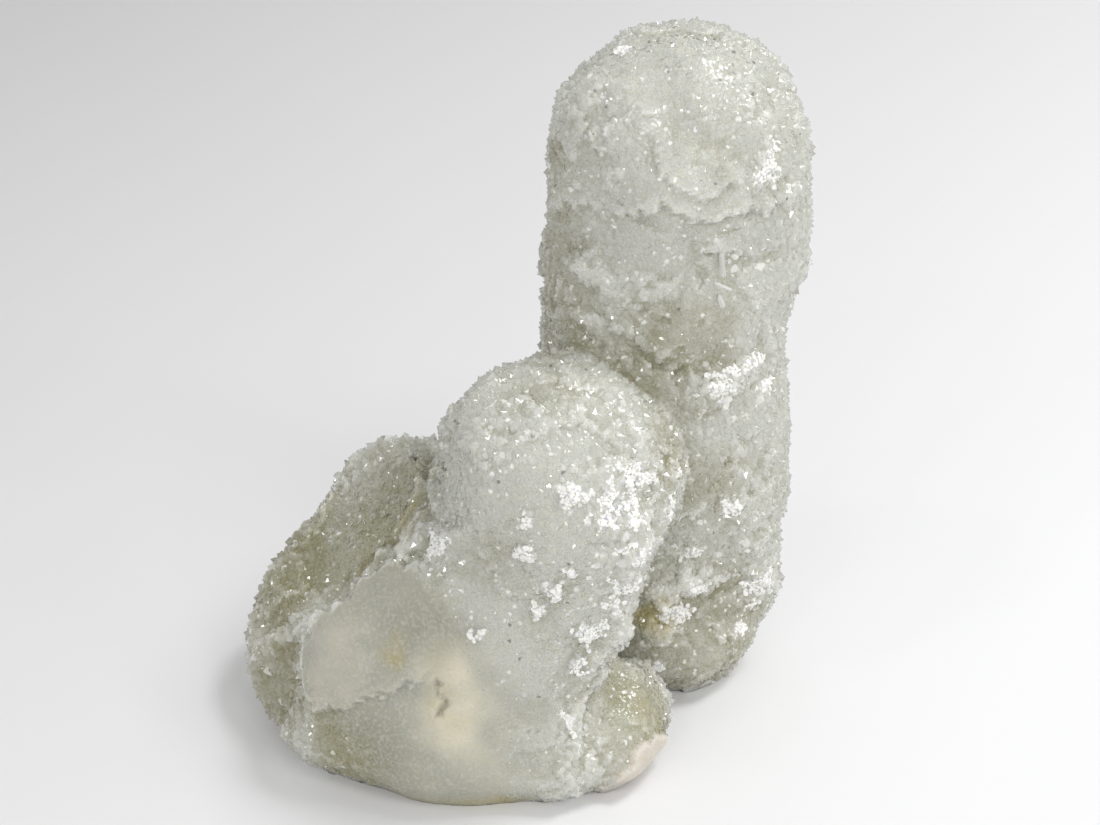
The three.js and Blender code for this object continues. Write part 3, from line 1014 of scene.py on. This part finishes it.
HEAD_FROM, FINGER_FROM = 63, 33    # heights at which the tall finger's pieces meet, mm
on_column = (spots[:, 1] > -6) & (spots[:, 0] > 3)
parts = {
    "crystals_on_head": spots[:, 2] > HEAD_FROM,
    "crystals_on_tall_finger": on_column & (spots[:, 2] > FINGER_FROM),
    "crystals_on_tall_finger_foot": on_column,
    "crystals_on_front_finger": (spots[:, 1] < -4) & (spots[:, 0] > -12),
    "crystals_on_left_finger": np.ones(count, bool),
}
taken = crushed.copy()
for number, (name, part) in enumerate(parts.items()):
    mine = part & ~taken
    taken |= mine
    verts, faces = crystals(spots[mine], axes[mine], radius[mine], shoulder[mine, None], tip[mine],
                            root[mine], np.random.default_rng(30 + number))
    own = {mask: values[mine] for mask, values in masks.items()}
    piece = crystal_piece(name, clear_points, verts, faces, mine.sum(), own, up[mine],
                          SOFTENED + EVEN_SOFTENED * even[mine])
    piece.visible_shadow = False
    piece.visible_diffuse = False

# ---------------------------------------------------------------------------------------------
# The long clear prisms: a few thin six-sided ones with a point at both ends, which grew lying on
# the tall finger below its head.
# ---------------------------------------------------------------------------------------------

# Middle, direction, half length and radius, mm.
LONG_PRISMS = [
    ((24.4, -3.8, 64.7), (-0.1, -0.12, 0.98), 1.4, 0.36),
    ((24.6, -3.3, 61.6), (0.86, 0.16, -0.46), 1.1, 0.24),
    ((24.4, -3.5, 59.6), (-0.3, -0.2, 0.9), 0.6, 0.42),
    ((10.6, -2.9, 60.8), (0.8, -0.2, -0.5), 1.0, 0.3),
    ((9.4, -2.0, 56.3), (0.45, -0.15, -0.85), 0.7, 0.36),
]
middle, direction, half, thick = (np.array(column) for column in zip(*LONG_PRISMS))
few = len(LONG_PRISMS)
prism_end = half + 1.3 * thick
verts, faces = crystals(middle, unit(direction), thick, np.stack([-half, half], 1),
                        prism_end, prism_end, np.random.default_rng(50))
outward = np.tile(FROM_FRONT, (few, 1))
# The prisms are painted a little whiter through the glow mask.
own = {"proud": np.ones(few), "olive_and_shade": np.full(few, 0.1), "stained": np.zeros(few),
       "glow": np.full(few, 0.3), "gloss": np.ones(few)}
piece = crystal_piece("long_prisms", clear_points, verts, faces, few, own, outward, np.full(few, 0.4))
piece.visible_shadow = False

# ---------------------------------------------------------------------------------------------
# The crushed crystals: where the piece was knocked its points are broken to dull white powder,
# which still clings to it as fine blunt grains.
# ---------------------------------------------------------------------------------------------

GRAIN_SPACING = 0.36   # a lattice cube that holds one grain, mm
GRAIN_RADIUS = 0.21    # mm
GRAIN_LIFT = 0.12      # the least that a grain stands out, and how much more it may, mm
powder = quartz_material("crushed_quartz", 0.5)[0]
near = crushed_share(skin[skin_quads].mean(1)) > 0.05
held, share = places_on(skin, skin_quads[near], GRAIN_SPACING, 45)
rng = np.random.default_rng(46)
spots = at_places(skin, held, share)
keep = (crushed_share(spots) > 0.45) & (spots[:, 2] > 0.6)
held, share, spots = held[keep], share[keep], spots[keep]
up = unit(at_places(normals, held, share))
count = len(spots)
spots = spots + up * (GRAIN_LIFT * rng.random((count, 1)) + GRAIN_LIFT)
axes = unit(up + rng.normal(0, 0.4, (count, 3)))
radius = GRAIN_RADIUS * np.exp(rng.normal(0, 0.3, count))
verts, faces = crystals(spots, axes, radius, 0.1 * radius[:, None], 0.6 * radius, radius, rng)
own = {"proud": np.ones(count), "olive_and_shade": np.zeros(count), "stained": 0.5 * stain_share(spots),
       "glow": np.zeros(count), "crushed": rng.uniform(0.6, 1.0, count)}
crystal_piece("crushed_crystals", powder, verts, faces, count, own, up, np.full(count, 0.5))

# ---------------------------------------------------------------------------------------------
# The studio: a pale paper floor, painted grey towards the back left as painted shade, two soft
# lamps from the right and a few small ones that light single faces of the crystals, a pale room,
# and the camera looking down on the piece.
# ---------------------------------------------------------------------------------------------

FLOOR_CORNERS = np.array([(-2, -2, 0), (2, -2, 0), (2, 2, 0), (-2, 2, 0)], float)
PAPER_IN_PAINTED_SHADE = (0.58, 0.575, 0.58, 1)
PAPER_WHITE = (0.85, 0.85, 0.86, 1)
floor = mesh_object("floor", FLOOR_CORNERS, [(0, 1, 2, 3)])
paper = bpy.data.materials.new("paper")
paper.use_nodes = True
tree = paper.node_tree
shader = tree.nodes["Principled BSDF"]
# Painted shade: the paper greys from white towards the back left.
place = add_node(tree, "ShaderNodeTexCoord").outputs["Object"]
turned = add_node(tree, "ShaderNodeMapping", Vector=place, Rotation=(0, 0, 0.5)).outputs[0]
along = add_node(tree, "ShaderNodeSeparateXYZ", Vector=turned).outputs[0]
along = computed(tree, "MULTIPLY_ADD", noise_of(tree, turned, 0.3, 2), 0.02, along)
shade = add_node(tree, "ShaderNodeMapRange", Value=along, From_Min=-0.215, From_Max=0.065).outputs[0]
tree.links.new(blended(tree, shade, PAPER_IN_PAINTED_SHADE, PAPER_WHITE), shader.inputs["Base Color"])
shader.inputs["Roughness"].default_value = 0.6
floor.data.materials.append(paper)

LIT_MIDDLE = Vector((0, 0, 0.03))      # what the lamps face, m


def area_light(name, place, size, power):
    """A square lamp of the given side in metres and power in watts that faces the middle of the
    piece."""
    lamp = bpy.data.objects.new(name, bpy.data.lights.new(name, "AREA"))
    lamp.data.energy = power
    lamp.data.size = size
    lamp.location = place
    lamp.rotation_euler = (LIT_MIDDLE - lamp.location).to_track_quat("-Z", "Y").to_euler()
    bpy.context.scene.collection.objects.link(lamp)


area_light("key", (0.42, 0.11, 0.84), 0.24, 3.45)
area_light("window", (0.42, -0.42, 0.74), 0.25, 1.0)
GLINTS = [(0.25, -0.5, 0.75), (-0.35, -0.2, 0.85), (0.1, 0.1, 0.95), (0.1, -0.75, 0.45),
          (-0.3, -0.6, 0.6), (0.6, -0.4, 0.5), (-0.1, -0.3, 0.9), (0.0, -0.55, 0.75), (-0.5, -0.45, 0.5),
          (0.35, -0.7, 0.35), (-0.2, -0.8, 0.35)]
GLINT_SIZE, GLINT_POWER = 0.05, 0.16
for number, place in enumerate(GLINTS):
    area_light(f"glint_{number}", place, GLINT_SIZE, GLINT_POWER)

# The room: to matt surfaces it is brightest low down and dims upwards, and to all else it has
# bright patches of window.
world = bpy.data.worlds.new("room")
bpy.context.scene.world = world
world.use_nodes = True
tree = world.node_tree
heading = add_node(tree, "ShaderNodeTexCoord").outputs["Generated"]
height = add_node(tree, "ShaderNodeSeparateXYZ", Vector=heading).outputs[2]
soft = add_node(tree, "ShaderNodeMapRange", Value=height, From_Min=0, From_Max=1,
                To_Min=1.1, To_Max=0.28).outputs[0]
windows = add_node(tree, "ShaderNodeTexNoise", Vector=heading, Scale=4.0, Detail=0).outputs["Fac"]
windows = add_node(tree, "ShaderNodeMapRange", Value=windows, From_Min=0.42, From_Max=0.56,
                   To_Min=0.25, To_Max=1.1).outputs[0]
matt = add_node(tree, "ShaderNodeLightPath").outputs["Is Diffuse Ray"]
strength = add_node(tree, "ShaderNodeMix", Factor=matt, A=windows, B=soft).outputs[0]
tree.links.new(strength, tree.nodes["Background"].inputs["Strength"])
tree.nodes["Background"].inputs["Color"].default_value = (1, 1, 1, 1)
world.cycles.sampling_method = "NONE"

CAMERA_AIM = np.array([3.5, -3.25, 44.0])      # mm
CAMERA_AWAY = 340.0    # mm
CAMERA_SCALE = 8.0     # pixels to a millimetre at the aim
PICTURE_WIDTH = 1100   # pixels
SENSOR_WIDTH = 36      # mm
camera = bpy.data.objects.new("camera", bpy.data.cameras.new("camera"))
bpy.context.scene.collection.objects.link(camera)
camera.location = (CAMERA_AIM + CAMERA_AWAY * FROM_FRONT) * MM
camera.rotation_euler = (np.pi / 2 - SLOPE, 0, 0)
camera.data.sensor_width = SENSOR_WIDTH
camera.data.lens = SENSOR_WIDTH * CAMERA_SCALE * CAMERA_AWAY / PICTURE_WIDTH
bpy.context.scene.camera = camera
bpy.context.scene.view_settings.view_transform = "Standard"
